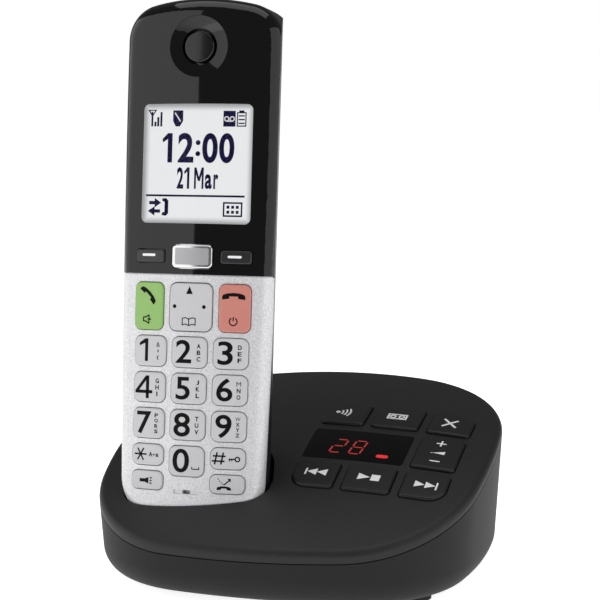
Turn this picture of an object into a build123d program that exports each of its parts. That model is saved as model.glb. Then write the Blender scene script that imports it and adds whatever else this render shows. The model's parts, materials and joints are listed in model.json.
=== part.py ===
from build123d import *
import math
import os

# A cordless telephone standing in its charging base with a built-in answering machine.
# World frame: origin on the table under the middle of the base, +Z up, front of the base at -Y.
# The handset is drawn upright in its own frame, with x across, y into its body from the crown
# of the front face and z up from its lower tip, and is then leaned back into the cradle.

# ---- Driving dimensions, millimetres ----

# Handset as a whole
handset_width = 49.0
handset_length = 158.0
handset_thickness = 26.0
handset_lean = 7.4  # degrees back from upright when it is docked
handset_seat = (-25.0, -37.4, 19.5)  # where the lower tip of the front face sits
front_crown = 91.0  # radius of the front face across its width
back_crown = 70.0
top_arc = 75.0
top_corner = 11.0
bottom_arc = 62.0
bottom_corner = 13.0
front_rounding = 4.5
back_rounding = 8.0
widest_height = 125.0  # where the handset has its full width
side_arc = 4000.0  # radius of its long sides, seen from the front
flank_depth = 4.1  # where the sides start to close in towards the back
flank_lean = 16.0  # degrees
flank_rounding = 14.0
case_wall = 1.8
parting_depth = 6.0  # where the front shells meet the rear case
panel_line = 75.4  # where the silver keypad case meets the gloss display panel
groove = 0.35  # shadow line at each parting

# Keypad
key_raise = 0.6
key_travel = 0.8
key_gap = 0.22  # around each key in its hole
key_edge = 0.45
flange_width = 0.7
flange_thick = 0.9
flange_gap = 0.15
number_column = 12.68
call_column = 13.52
number_key_middle = 11.04
number_key_side = 10.46
call_key_width = 9.46
nav_key_width = 13.32
soft_key_width = 9.32
center_key_width = 12.7
key_corner = 2.2
nav_tilt = 3.0  # degrees each way
nav_rows = (58.6, 72.8)

# Display
window_width = 34.6
window_bottom = 90.6
window_top = 126.2
window_corner = 1.8
lens_back = 2.6
lcd_depth = 2.75
lcd_thick = 1.8
lcd_margin = 1.3

# Earpiece and microphone
earpiece_height = 143.3
dish_radius = 9.15
dish_step = 0.5  # straight wall at its edge
dish_depth = 1.9
earpiece_hole = 5.5
earpiece_cap_radius = 4.7
mic_height = 10.6
mic_slot_width = 8.2

# Handset electronics
board_depth = 7.0
board_thick = 1.2
board_half_width = 19.5
board_bottom = 12.0
board_top = 133.0
mat_thick = 0.4
cell_radius = 5.25
cell_length = 44.5
cell_pitch = 11.2
cell_bottom = 45.0
tray_wall = 1.2
spring_room = 3.0
cover_thick = 1.6
cover_gap = 0.12
cover_margin = 1.4  # how far the battery door reaches past the tray
screw_radius = 1.05
handset_screw_spot = (15.0, 141.0)
speaker_height = 117.0
speaker_radius = 10.0
contact_offset = 9.0
contact_depth = 13.5
contact_size = (4.0, 4.0)
contact_thick = 0.6

# Base as a whole
base_width = 121.2
base_depth = 106.0
plan_end_arc = 170.0
plan_side_arc = 150.0
plan_corner_arc = 39.0
base_front_height = 18.3
base_middle_height = 42.4
base_back_height = 53.1
crown_radius = 417.0  # crown of the top from side to side
crown_tilt = 0.82  # degrees, higher on the key side
base_draft = 4.0  # degrees, wider towards the top
draft_height = 34.0  # where the base has its full width
plan_shift = -1.2
base_clearance = 1.6  # under the case, taken up by the feet
base_rounding = 9.0
rim_rounding = 2.8
rim_height = 3.2
base_wall = 2.2
seam_gap = 0.3
seam_depth = 0.7

# Cradle
well_gap = 1.0
well_front_gap = 0.5
seat_gap = 0.35
well_wall = 1.6
pin_radius = 1.1
pin_gap = 0.1
pin_hole_gap = 0.15
pin_length = 7.0

# Base keys and display window, in the plane of the key field
field_middle = (28.15, -5.45)
field_column_1 = (-23.55, -10.05)
field_column_2 = (-7.55, 7.25)
field_column_3 = (10.05, 23.55)
field_row_top = (11.4, 25.2)
field_row_volume = (-9.0, 8.4)
field_row_bottom = (-23.9, -11.4)
field_window = (-23.85, 7.65)
field_window_rows = (-8.9, 8.1)
base_key_raise = 0.9
base_key_travel = 0.8
base_key_edge = 0.7
base_key_gap = 0.25
base_corner_large = 5.5
base_corner_small = 1.3
base_flange = 0.8
rocker_tilt = 2.5  # degrees each way
base_board_depth = 8.4
base_board_thick = 1.6
base_board_half = (25.0, 26.0)
window_thick = 0.9

# Base fittings
foot_radius = 4.5
foot_recess = 1.0
foot_spots = ((-43.0, -26.0), (43.0, -26.0), (-43.0, 28.0), (43.0, 28.0))
screw_spots = ((34.0, 37.0), (-34.0, 37.0), (22.0, -36.0), (-25.0, -22.0))
boss_radius = 2.7
boss_split = 9.0
screw_head_radius = 2.6
speaker_spot = (24.0, 10.0)
base_speaker_radius = 18.0
base_speaker_height = 8.0
line_socket_x = -18.0
dc_inlet_x = 6.0
socket_floor = 11.0
line_opening = (9.8, 6.8)
dc_hole_radius = 2.8
dc_pin_radius = 0.8
socket_depth = 12.0
socket_wall = 1.4
socket_back = 4.0  # body behind the hole

FAR = 300.0


def slab(sketch, near, far):
    """A sketch drawn as the front view, made solid between two depths."""
    return extrude(Plane.XZ.offset(-near) * sketch, amount=-(far - near))


def upright_box(half_width, depth_from, depth_to, bottom, top, x=0.0):
    size = (2 * half_width, depth_to - depth_from, top - bottom)
    return Pos(x, (depth_from + depth_to) / 2, (bottom + top) / 2) * Box(*size)


def rounded_rectangle(x_from, x_to, y_from, y_to, radii):
    """A rectangle with its own radius at each corner: lower left, lower right, upper right, upper left."""
    low_left, low_right, up_right, up_left = radii
    sides = [
        Line((x_from + low_left, y_from), (x_to - low_right, y_from)),
        Line((x_to, y_from + low_right), (x_to, y_to - up_right)),
        Line((x_to - up_right, y_to), (x_from + up_left, y_to)),
        Line((x_from, y_to - up_left), (x_from, y_from + low_left)),
    ]
    corners = [
        RadiusArc((x_to - low_right, y_from), (x_to, y_from + low_right), -low_right),
        RadiusArc((x_to, y_to - up_right), (x_to - up_right, y_to), -up_right),
        RadiusArc((x_from + up_left, y_to), (x_from, y_to - up_left), -up_left),
        RadiusArc((x_from, y_from + low_left), (x_from + low_left, y_from), -low_left),
    ]
    return make_face(sides + corners)


# ---- Handset body ----


def side_reach(height, grow):
    """Half the width of the handset at a height, grown by the given amount."""
    return handset_width / 2 + grow - (height - widest_height) ** 2 / (2 * side_arc)


def handset_outline(grow, stretch):
    """Front view of the handset, grown all round and stretched at the top."""
    half = handset_width / 2 + grow
    top_middle = handset_length + stretch
    top_side = top_middle - top_arc + math.sqrt((top_arc + grow) ** 2 - half**2)
    bottom_side = bottom_arc - math.sqrt((bottom_arc + grow) ** 2 - side_reach(0.0, grow) ** 2)
    middle = (top_side + bottom_side) / 2
    high, wide, low = (side_reach(height, grow) for height in (top_side, middle, bottom_side))
    top = ThreePointArc((high, top_side), (0, top_middle + grow), (-high, top_side))
    bottom = ThreePointArc((-low, bottom_side), (0, -grow), (low, bottom_side))
    left = ThreePointArc((-high, top_side), (-wide, middle), (-low, bottom_side))
    right = ThreePointArc((low, bottom_side), (wide, middle), (high, top_side))
    face = make_face([top, left, bottom, right])
    face = fillet(face.vertices().group_by(Axis.Y)[-1], top_corner + grow)
    return fillet(face.vertices().group_by(Axis.Y)[0], bottom_corner + grow)


def crowned_bar(front_grow, back_grow, bottom, top):
    """A bar with the crowned front and back of the handset."""
    reach = handset_width / 2 + max(front_grow, back_grow, 0.0) + 3.0
    front_radius = front_crown + front_grow
    back_radius = back_crown + back_grow
    front_side = front_crown - math.sqrt(front_radius**2 - reach**2)
    back_centre = handset_thickness - back_crown
    back_side = back_centre + math.sqrt(back_radius**2 - reach**2)
    front = ThreePointArc((-reach, front_side), (0, -front_grow), (reach, front_side))
    back = ThreePointArc((reach, back_side), (0, back_centre + back_radius), (-reach, back_side))
    right = Line((reach, front_side), (reach, back_side))
    left = Line((-reach, back_side), (-reach, front_side))
    section = make_face([front, right, back, left])
    return extrude(Plane.XY.offset(bottom) * section, amount=top - bottom)


def flank_bar(grow, bottom, top):
    """A bar whose sides close in towards the back, with broad corners just outside the back."""
    lean = math.radians(flank_lean)
    offset = handset_width / 2 * math.cos(lean) + flank_depth * math.sin(lean) + grow
    near, far = -10.0, handset_thickness + grow + 0.3
    near_half, far_half = ((offset - depth * math.sin(lean)) / math.cos(lean) for depth in (near, far))
    corners = [(near_half, near), (far_half, far), (-far_half, far), (-near_half, near)]
    section = make_face(Polyline(*corners, close=True))
    section = fillet(section.vertices().group_by(Axis.Y)[-1], flank_rounding + grow)
    return extrude(Plane.XY.offset(bottom) * section, amount=top - bottom)


def handset_envelope(grow=0.0, stretch=0.0):
    """The outer form of the handset, grown all round by the given amount."""
    reach = (-20.0, handset_length + stretch + 20.0)
    prism = slab(handset_outline(grow, stretch), -10.0, handset_thickness + 10.0)
    form = prism & crowned_bar(grow, grow, *reach)
    form = fillet(form.faces().sort_by(Axis.Y)[0].edges(), front_rounding + grow)
    form = fillet(form.faces().sort_by(Axis.Y)[-1].edges(), back_rounding + grow)
    return form & flank_bar(grow, *reach)


def under_front(depth):
    """Everything behind the front face moved inwards by a depth."""
    bar = crowned_bar(-depth, 20.0, -30.0, handset_length + 30.0)
    return bar


def front_layer(depth_from, depth_to):
    """The layer between two depths that follows the crown of the front face."""
    return under_front(depth_from) - under_front(depth_to)


outer_form = handset_envelope()
inner_form = handset_envelope(-case_wall)
handset_place = Location(handset_seat, (-handset_lean, 0, 0))
half_width = handset_width / 2

nodes = {}


def keep(name, shape, place=None):
    """Store a finished piece under its own name, placed in the world."""
    nodes[name] = shape if place is None else place * shape


# ---- Handset keys: name, middle across, bottom, top, width, corner ----

number_rows = ((47.7, 56.8), (36.9, 45.9), (26.1, 35.1))
number_names = (
    ("key_1", "key_2", "key_3"),
    ("key_4", "key_5", "key_6"),
    ("key_7", "key_8", "key_9"),
)
column_middles = (-number_column, 0.0, number_column)
column_widths = (number_key_side, number_key_middle, number_key_side)

keypad_keys = []
for row, names in zip(number_rows, number_names):
    for middle, width, name in zip(column_middles, column_widths, names):
        keypad_keys.append((name, middle, row[0], row[1], width, key_corner))
keypad_keys += [
    ("key_star", -number_column, 18.0, 24.3, number_key_side, key_corner),
    ("key_0", 0.0, 15.3, 24.3, number_key_middle, key_corner),
    ("key_hash", number_column, 18.0, 24.3, number_key_side, key_corner),
    ("key_loud", -number_column, 10.7, 16.3, number_key_side, 1.9),
    ("key_redial", number_column, 10.7, 16.3, number_key_side, 1.9),
    ("key_talk", -call_column, 58.6, 72.8, call_key_width, 2.0),
    ("key_off", call_column, 58.6, 72.8, call_key_width, 2.0),
]
panel_keys = [
    ("key_soft_left", -call_column, 78.8, 82.7, soft_key_width, 0.8),
    ("key_soft_center", 0.0, 77.3, 84.2, center_key_width, 1.4),
    ("key_soft_right", call_column, 78.8, 82.7, soft_key_width, 0.8),
]
nav_key = ("key_nav", 0.0, *nav_rows, nav_key_width, 2.2)
nav_reach = nav_key_width / 2 + (nav_rows[1] - nav_rows[0]) / 2 + 2 * flange_width
nav_flange_gap = flange_gap + nav_reach * math.tan(math.radians(nav_tilt))
stem_half = 1.8
stem_end = board_depth - mat_thick - key_travel - 0.1


def key_outline(key, grow):
    _, middle, bottom, top, width, corner = key
    half = width / 2 + grow
    radii = [corner + grow] * 4
    return rounded_rectangle(middle - half, middle + half, bottom - grow, top + grow, radii)


def handset_key(key, gap_under_case):
    """A moulded key cap with a retaining flange behind the case and a stem towards its switch."""
    middle = key[1]
    height = (key[2] + key[3]) / 2
    flange_front = case_wall + gap_under_case
    flange_back = flange_front + flange_thick
    cap = slab(key_outline(key, 0.0), -3.0, 12.0) & front_layer(-key_raise, flange_back)
    cap = fillet(cap.faces().sort_by(Axis.Y)[0].edges(), key_edge)
    flange = slab(key_outline(key, flange_width), -3.0, 12.0)
    flange = flange & front_layer(flange_front, flange_back)
    stem_from = flange_front + 0.4
    stem = upright_box(stem_half, stem_from, stem_end, height - 1.5, height + 1.5, middle)
    return cap + flange + stem


for key in keypad_keys + panel_keys:
    keep(key[0], handset_key(key, flange_gap), handset_place)

# The four-way key rocks on a small boss that itself rocks the other way.
nav_middle = (nav_key[2] + nav_key[3]) / 2
nav_flange = case_wall + nav_flange_gap
nav_pivot_depth = nav_flange + flange_thick
nav_cap = slab(key_outline(nav_key, 0.0), -3.0, 12.0) & front_layer(-key_raise, nav_pivot_depth)
nav_cap = fillet(nav_cap.faces().sort_by(Axis.Y)[0].edges(), key_edge)
nav_lip = slab(key_outline(nav_key, flange_width), -3.0, 12.0)
nav_lip = nav_lip & front_layer(nav_flange, nav_pivot_depth)
keep("key_nav", nav_cap + nav_lip, handset_place)
boss_ball = Pos(0, nav_pivot_depth + 0.1, nav_middle) * Rot(-90, 0, 0) * Cone(
    1.2, 2.4, 1.6, align=(Align.CENTER, Align.CENTER, Align.MIN)
)
keep("nav_boss", boss_ball, handset_place)

# ---- Front shells ----

front_shell = (outer_form - inner_form) & upright_box(
    half_width + 5, -5, parting_depth, -5, handset_length + 5
)
keypad_case = front_shell & upright_box(half_width + 5, -5, parting_depth, -5, panel_line)
key_holes = [slab(key_outline(key, key_gap), -3.0, 12.0) for key in keypad_keys]
key_holes.append(slab(key_outline(nav_key, key_gap + 0.08), -3.0, 12.0))
for hole in key_holes:
    keypad_case = keypad_case - hole
mic_slot = slab(Pos(0, mic_height) * SlotOverall(mic_slot_width, 1.3), -3.0, 12.0)
keypad_case = keypad_case - (mic_slot & front_layer(-1.0, 0.4))
keypad_case = keypad_case - slab(Pos(0, mic_height) * SlotOverall(2.6, 1.2), -3.0, 12.0)
panel_groove = (outer_form - handset_envelope(-groove)) & upright_box(
    half_width + 5, -5, parting_depth, panel_line - 0.3, panel_line
)
keep("handset_front_case", keypad_case - panel_groove, handset_place)

window_sketch = rounded_rectangle(
    -window_width / 2, window_width / 2, window_bottom, window_top, [window_corner] * 4
)
lcd_half = window_width / 2 + lcd_margin
lcd_bottom = window_bottom - lcd_margin
lcd_top = window_top + lcd_margin
panel = front_shell & upright_box(
    half_width + 5, -5, parting_depth, panel_line, handset_length + 5
)
earpiece_boss = Pos(0, 0, earpiece_height) * Rot(-90, 0, 0) * Cylinder(
    dish_radius + 1.6, 5.2, align=(Align.CENTER, Align.CENTER, Align.MIN)
)
panel = panel + (earpiece_boss & inner_form)
dish_bowl = dish_depth - dish_step
dish_sphere_radius = (dish_radius**2 + dish_bowl**2) / (2 * dish_bowl)
dish_round = slab(Pos(0, earpiece_height) * Circle(dish_radius), -5.0, dish_depth + 1.0)
bowl = Pos(0, dish_depth - dish_sphere_radius, earpiece_height) * Sphere(dish_sphere_radius)
panel = panel - (dish_round & bowl)
panel = panel - slab(Pos(0, earpiece_height) * Circle(earpiece_hole), -3.0, 12.0)
panel = panel - slab(window_sketch, -3.0, 12.0)
lcd_room = 0.15
panel = panel - upright_box(
    lcd_half + lcd_room, lcd_depth - 0.1, 12.0, lcd_bottom - lcd_room, lcd_top + lcd_room
)
for key in panel_keys:
    panel = panel - slab(key_outline(key, key_gap), -3.0, 12.0)
keep("handset_display_panel", panel, handset_place)

lens_gap = 0.05
lens_half = window_width / 2 - lens_gap
lens_sketch = rounded_rectangle(
    -lens_half, lens_half, window_bottom + lens_gap, window_top - lens_gap, [window_corner] * 4
)
lens = slab(lens_sketch, -3.0, lens_back) & under_front(0.08)
keep("display_lens", lens, handset_place)
lcd = upright_box(lcd_half, lcd_depth, lcd_depth + lcd_thick, lcd_bottom, lcd_top)
keep("lcd_module", lcd, handset_place)

frame_back = lcd_depth + lcd_thick
lcd_frame = upright_box(lcd_half + 1.0, frame_back, board_depth, lcd_bottom - 1.0, lcd_top + 1.0)
lcd_frame = lcd_frame - upright_box(
    lcd_half - 3.0, frame_back - 1, board_depth + 1, lcd_bottom + 3, lcd_top - 3
)
keep("lcd_frame", lcd_frame, handset_place)

# ---- Earpiece ----

cap_front = 0.9
cap_disc = Pos(0, cap_front, earpiece_height) * Rot(-90, 0, 0) * Cylinder(
    earpiece_cap_radius, 5.2 - cap_front, align=(Align.CENTER, Align.CENTER, Align.MIN)
)
cap_disc = fillet(cap_disc.edges().sort_by(Axis.Y)[0], 0.5)
cap_flange = Pos(0, 5.2, earpiece_height) * Rot(-90, 0, 0) * Cylinder(
    dish_radius - 1.0, 0.6, align=(Align.CENTER, Align.CENTER, Align.MIN)
)
keep("earpiece_cap", cap_disc + cap_flange, handset_place)
receiver = Pos(0, 5.8, earpiece_height) * Rot(-90, 0, 0) * Cylinder(
    6.5, 3.2, align=(Align.CENTER, Align.CENTER, Align.MIN)
)
keep("earpiece_receiver", receiver, handset_place)

# ---- Handset electronics ----

board_back = board_depth + board_thick
board = upright_box(board_half_width, board_depth, board_back, board_bottom, board_top)
keep("handset_board", board, handset_place)
mat_top = panel_keys[1][3] + 1.5
mat_half = board_half_width - 0.5
mat = upright_box(mat_half, board_depth - mat_thick, board_depth, board_bottom, mat_top)
keep("keypad_mat", mat, handset_place)
microphone = Pos(0, case_wall + 0.2, mic_height) * Rot(-90, 0, 0) * Cylinder(
    2.0, 2.2, align=(Align.CENTER, Align.CENTER, Align.MIN)
)
keep("handset_microphone", microphone, handset_place)
speaker_front = board_back + 4.0
speaker_back = handset_thickness - case_wall - 1.0
speaker = Pos(0, speaker_front, speaker_height) * Rot(-90, 0, 0) * Cylinder(
    speaker_radius, speaker_back - speaker_front, align=(Align.CENTER, Align.CENTER, Align.MIN)
)
keep("handset_speaker", speaker, handset_place)

# ---- Rear case, battery tray and door ----

cell_spread = cell_pitch / 2
cell_depth = handset_thickness - cover_thick - 0.9 - cell_radius
tray_half = cell_spread + cell_radius + 0.4
tray_front = cell_depth - cell_radius - 0.3
tray_bottom = cell_bottom - spring_room
tray_top = cell_bottom + cell_length + 1.0 + spring_room
door_half = tray_half + cover_margin
door_bottom = tray_bottom - cover_margin
door_top = tray_top + cover_margin
rim_half = door_half + tray_wall

rear_case = (outer_form - inner_form) & upright_box(
    half_width + 5, parting_depth, handset_thickness + 5, -5, handset_length + 5
)
tray_block = upright_box(
    rim_half, tray_front - tray_wall, handset_thickness + 5, door_bottom - tray_wall, door_top + tray_wall
)
rear_case = rear_case + (tray_block & outer_form)
rear_case = rear_case - upright_box(tray_half, tray_front, handset_thickness + 5, tray_bottom, tray_top)
door_seat = (outer_form - handset_envelope(-cover_thick - cover_gap)) & upright_box(
    door_half + cover_gap,
    parting_depth,
    handset_thickness + 5,
    door_bottom - cover_gap,
    door_top + cover_gap,
)
rear_case = rear_case - door_seat
screw_boss_radius = 2.8
for side in (-1, 1):
    spot = (side * handset_screw_spot[0], handset_screw_spot[1])
    post = slab(Pos(*spot) * Circle(screw_boss_radius), parting_depth, handset_thickness + 5) & outer_form
    rear_case = rear_case + post
    rear_case = rear_case - slab(Pos(*spot) * Circle(screw_radius + 0.15), parting_depth - 1, FAR)
    rear_case = rear_case - slab(Pos(*spot) * Circle(2.2), parting_depth + 6, FAR)
for step in range(-3, 4):
    slot = slab(Pos(0, speaker_height + 2.4 * step) * SlotOverall(13.0, 1.1), speaker_back - 2, FAR)
    rear_case = rear_case - slot
rear_groove = (outer_form - handset_envelope(-groove)) & upright_box(
    half_width + 5, parting_depth, parting_depth + 0.3, -5, handset_length + 5
)
rear_case = rear_case - rear_groove
contact_zone = {}
for side in (-1, 1):
    contact_zone[side] = upright_box(
        contact_size[0] / 2,
        contact_depth - contact_size[1] / 2,
        contact_depth + contact_size[1] / 2,
        -5,
        5,
        side * contact_offset,
    )
contact_skin = outer_form - handset_envelope(-contact_thick)
charge_contacts = [contact_skin & contact_zone[side] for side in (-1, 1)]
for contact in charge_contacts:
    rear_case = rear_case - contact
keep("handset_rear_case", rear_case, handset_place)
keep("handset_charge_contacts", Compound(children=charge_contacts), handset_place)

door = (outer_form - handset_envelope(-cover_thick)) & upright_box(
    door_half, parting_depth, handset_thickness + 5, door_bottom, door_top
)
for step in range(5):
    height = door_bottom + 8.0 + 1.8 * step
    ridge_cut = upright_box(6.0, handset_thickness - 0.5, handset_thickness + 5, height, height + 0.8)
    door = door - ridge_cut
keep("battery_cover", door, handset_place)

cells = []
contacts = []
for side in (-1, 1):
    barrel = Pos(side * cell_spread, cell_depth, cell_bottom) * Cylinder(
        cell_radius, cell_length - 1.0, align=(Align.CENTER, Align.CENTER, Align.MIN)
    )
    nub = Pos(side * cell_spread, cell_depth, cell_bottom + cell_length - 1.0) * Cylinder(
        1.9, 1.0, align=(Align.CENTER, Align.CENTER, Align.MIN)
    )
    cells.append(fillet(barrel.edges(), 0.5) + nub)
    plate_low = upright_box(3.6, cell_depth - 3.6, cell_depth + 3.6, tray_bottom, tray_bottom + 0.4)
    spring = Pos(0, cell_depth, tray_bottom + 0.4) * Cone(
        3.0, 1.6, spring_room - 0.4, align=(Align.CENTER, Align.CENTER, Align.MIN)
    )
    plate_high = upright_box(3.6, cell_depth - 3.6, cell_depth + 3.6, tray_top - 0.4, tray_top)
    stud = Pos(0, cell_depth, cell_bottom + cell_length) * Cylinder(
        1.4, tray_top - 0.4 - cell_bottom - cell_length, align=(Align.CENTER, Align.CENTER, Align.MIN)
    )
    contacts.append(Pos(side * cell_spread, 0, 0) * (plate_low + spring))
    contacts.append(Pos(side * cell_spread, 0, 0) * (plate_high + stud))
keep("battery_cells", Compound(children=cells), handset_place)
keep("battery_contacts", Compound(children=contacts), handset_place)

handset_screws = []
for side in (-1, 1):
    spot = (side * handset_screw_spot[0], handset_screw_spot[1])
    shank = slab(Pos(*spot) * Circle(screw_radius), parting_depth - 2.0, parting_depth + 6)
    head = slab(Pos(*spot) * Circle(2.0), parting_depth + 6, parting_depth + 7.4)
    head = head - slab(Pos(*spot) * Rectangle(0.7, 2.6), parting_depth + 6.8, parting_depth + 8)
    head = head - slab(Pos(*spot) * Rectangle(2.6, 0.7), parting_depth + 6.8, parting_depth + 8)
    handset_screws.append(shank + head)
keep("handset_screws", Compound(children=handset_screws), handset_place)

# ---- Base body ----

draft_slope = math.tan(math.radians(base_draft))


def base_plan(height, inset):
    """The rounded plan of the base at a height: end and side arcs joined by tangent corner arcs."""
    shrink = (draft_height - height) * draft_slope + inset / math.cos(math.radians(base_draft))
    half_w = base_width / 2 - shrink
    half_d = base_depth / 2 - shrink
    end = plan_end_arc - shrink
    side = plan_side_arc - shrink
    corner = plan_corner_arc - shrink
    end_y = half_d - end
    side_x = half_w - side
    reach_end = end - corner
    reach_side = side - corner
    span = math.hypot(side_x, end_y)
    along = (reach_end**2 - reach_side**2 + span**2) / (2 * span)
    off = math.sqrt(reach_end**2 - along**2)
    unit = (side_x / span, -end_y / span)
    corner_x = along * unit[0] - off * unit[1]
    corner_y = end_y + along * unit[1] + off * unit[0]
    if corner_x < 0:
        corner_x = along * unit[0] + off * unit[1]
        corner_y = end_y + along * unit[1] - off * unit[0]
    end_turn = math.atan2(corner_y - end_y, corner_x)
    side_turn = math.atan2(corner_y, corner_x - side_x)
    end_point = (end * math.cos(end_turn), end_y + end * math.sin(end_turn))
    side_point = (side_x + side * math.cos(side_turn), side * math.sin(side_turn))
    middle_turn = (end_turn + side_turn) / 2
    corner_point = (corner_x + corner * math.cos(middle_turn), corner_y + corner * math.sin(middle_turn))
    arcs = [
        ThreePointArc((-end_point[0], end_point[1]), (0, half_d), end_point),
        ThreePointArc((-end_point[0], -end_point[1]), (0, -half_d), (end_point[0], -end_point[1])),
        ThreePointArc((side_point[0], -side_point[1]), (half_w, 0), side_point),
        ThreePointArc((-side_point[0], -side_point[1]), (-half_w, 0), (-side_point[0], side_point[1])),
    ]
    for sx in (-1, 1):
        for sy in (-1, 1):
            arcs.append(
                ThreePointArc(
                    (sx * end_point[0], sy * end_point[1]),
                    (sx * corner_point[0], sy * corner_point[1]),
                    (sx * side_point[0], sy * side_point[1]),
                )
            )
    return Pos(0, plan_shift) * make_face(arcs)


def base_form(inset):
    """The drafted body of the base with its rounded bottom edge, tall enough to be cut by the top."""
    floor = base_clearance + inset
    form = Pos(0, 0, floor) * extrude(base_plan(floor, inset), amount=75.0, taper=-base_draft)
    return fillet(form.faces().sort_by(Axis.Z)[0].edges(), base_rounding - inset)


def top_profile():
    """Centre and radius of the arc, seen from the side, through the front, middle and back heights."""
    reach = base_depth / 2
    front = base_front_height - base_middle_height
    back = base_back_height - base_middle_height
    # The middle point is taken as (0, 0): a y + b z = half the squared distance for the other two.
    front_half = (reach**2 + front**2) / 2
    back_half = (reach**2 + back**2) / 2
    determinant = -reach * back - reach * front
    centre_y = (front_half * back - back_half * front) / determinant
    centre_z = (-reach * back_half - reach * front_half) / determinant
    return centre_y, base_middle_height + centre_z, math.hypot(centre_y, centre_z)


profile_y, profile_z, profile_radius = top_profile()
crown_axis = Axis((0, 0, base_middle_height - crown_radius), (0, 1, 0))
crown_swing = math.degrees(math.asin((base_width / 2 + 12.0) / crown_radius))
tilt_axis = Axis((0, 0, base_middle_height), (0, 1, 0))


def below_top(drop):
    """Everything under the domed top, lowered by a drop and crowned from side to side."""
    reach = base_depth / 2 + 10.0
    radius = profile_radius - drop

    def height(y):
        return profile_z + math.sqrt(radius**2 - (y - profile_y) ** 2)

    front = (-reach, height(-reach))
    back = (reach, height(reach))
    floor = -40.0
    outline = [
        ThreePointArc(front, (0.0, height(0.0)), back),
        Line(back, (reach, floor)),
        Line((reach, floor), (-reach, floor)),
        Line((-reach, floor), front),
    ]
    section = Plane.YZ * make_face(outline)
    section = section.rotate(crown_axis, -crown_swing)
    solid = revolve(section, axis=crown_axis, revolution_arc=2 * crown_swing)
    return solid.rotate(tilt_axis, -crown_tilt)


def top_height(x, y):
    """Height of the domed top over a point of the plan."""
    along = profile_z + math.sqrt(profile_radius**2 - (y - profile_y) ** 2) - base_middle_height
    across = crown_radius - math.sqrt(crown_radius**2 - x**2)
    return base_middle_height + along - across + x * math.tan(math.radians(crown_tilt))


base_outer = base_form(0.0)
base_inner = base_form(base_wall)
under_top = below_top(0.0)
under_roof = below_top(base_wall)
under_rim = below_top(rim_height)

# ---- Cradle ----

well_shift = Location((0, well_gap - well_front_gap, well_gap - seat_gap))
well_stretch = 110.0
well_hole = handset_place * well_shift * handset_envelope(well_gap, well_stretch)
well_shell = handset_place * well_shift * handset_envelope(well_gap + well_wall, well_stretch)

# ---- Field of keys on the base ----

step = 0.5
field_x, field_y = field_middle
slope_x = top_height(field_x + step, field_y) - top_height(field_x - step, field_y)
slope_y = top_height(field_x, field_y + step) - top_height(field_x, field_y - step)
field_normal = Vector(-slope_x, -slope_y, 1.0).normalized()
field_origin = Vector(field_middle[0], field_middle[1], top_height(*field_middle))
field_plane = Plane(origin=field_origin, x_dir=(1, 0, slope_x), z_dir=field_normal)


def field_prism(sketch, low, high):
    """A sketch in the plane of the key field, made solid between two heights along its normal."""
    return extrude(field_plane.offset(low) * sketch, amount=high - low)


def field_layer(drop_from, drop_to):
    return below_top(drop_from) - below_top(drop_to)


small = base_corner_small
large = base_corner_large
base_keys = {
    "base_key_locator": (field_column_1, field_row_top, (small, small, small, large)),
    "base_key_answer_on": (field_column_2, field_row_top, (small, small, small, small)),
    "base_key_erase": (field_column_3, field_row_top, (small, small, large, small)),
    "base_key_volume": (field_column_3, field_row_volume, (small, small, small, small)),
    "base_key_previous": (field_column_1, field_row_bottom, (large, small, small, small)),
    "base_key_play_stop": (field_column_2, field_row_bottom, (small, small, small, small)),
    "base_key_next": (field_column_3, field_row_bottom, (small, large, small, small)),
}


def base_key_outline(key, grow):
    columns, rows, radii = key
    grown_radii = [radius + grow for radius in radii]
    return rounded_rectangle(
        columns[0] - grow, columns[1] + grow, rows[0] - grow, rows[1] + grow, grown_radii
    )


rocker_reach = (field_row_volume[1] - field_row_volume[0]) / 2 + base_flange
rocker_flange_gap = flange_gap + rocker_reach * math.tan(math.radians(rocker_tilt))


def flange_top(name):
    return base_wall + (rocker_flange_gap if name == "base_key_volume" else flange_gap)


raised_top = below_top(-base_key_raise)
base_key_root = base_wall + rocker_flange_gap + base_key_travel
for name, key in base_keys.items():
    top = flange_top(name)
    cap_layer = raised_top - below_top(top + flange_thick)
    cap = field_prism(base_key_outline(key, 0.0), -9.0, 6.0) & cap_layer
    outer_face = cap.faces().sort_by(Axis(field_origin, field_normal))[-1]
    cap = fillet(outer_face.edges(), base_key_edge)
    flange = field_prism(base_key_outline(key, base_flange), -9.0, 6.0)
    flange = flange & field_layer(top, top + flange_thick)
    keep(name, cap + flange)

window_key = (field_window, field_window_rows, (small, small, small, small))
window_pane = field_prism(base_key_outline(window_key, -0.05), -9.0, 6.0)
window_pane = window_pane & field_layer(0.05, base_wall)
window_lip = field_prism(base_key_outline(window_key, base_flange), -9.0, 6.0)
window_lip = window_lip & field_layer(base_wall, base_wall + window_thick)
keep("base_display_window", window_pane + window_lip)

# ---- Top cover ----

cover = base_outer & under_top
cover = fillet(cover.faces().sort_by(Axis.Z)[-1].edges(), rim_rounding)
cover = cover - (base_inner & under_roof)
cover = cover - under_rim
seam_ring = base_outer - base_form(seam_depth)
cover = cover - (seam_ring & below_top(rim_height - seam_gap))
cradle = (well_shell & base_inner) & below_top(base_wall / 2)
cover = cover + cradle
for x, y in screw_spots:
    post = Pos(x, y, boss_split) * Cylinder(boss_radius, 60.0, align=(Align.CENTER, Align.CENTER, Align.MIN))
    cover = cover + (post & below_top(base_wall / 2))
cover = cover - well_hole
for x, y in screw_spots:
    pilot = Pos(x, y, boss_split - 1) * Cylinder(
        screw_radius + 0.05, 8.0, align=(Align.CENTER, Align.CENTER, Align.MIN)
    )
    cover = cover - pilot
for key in base_keys.values():
    cover = cover - field_prism(base_key_outline(key, base_key_gap), -7.0, 6.0)
cover = cover - field_prism(base_key_outline(window_key, 0.0), -7.0, 6.0)
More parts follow.
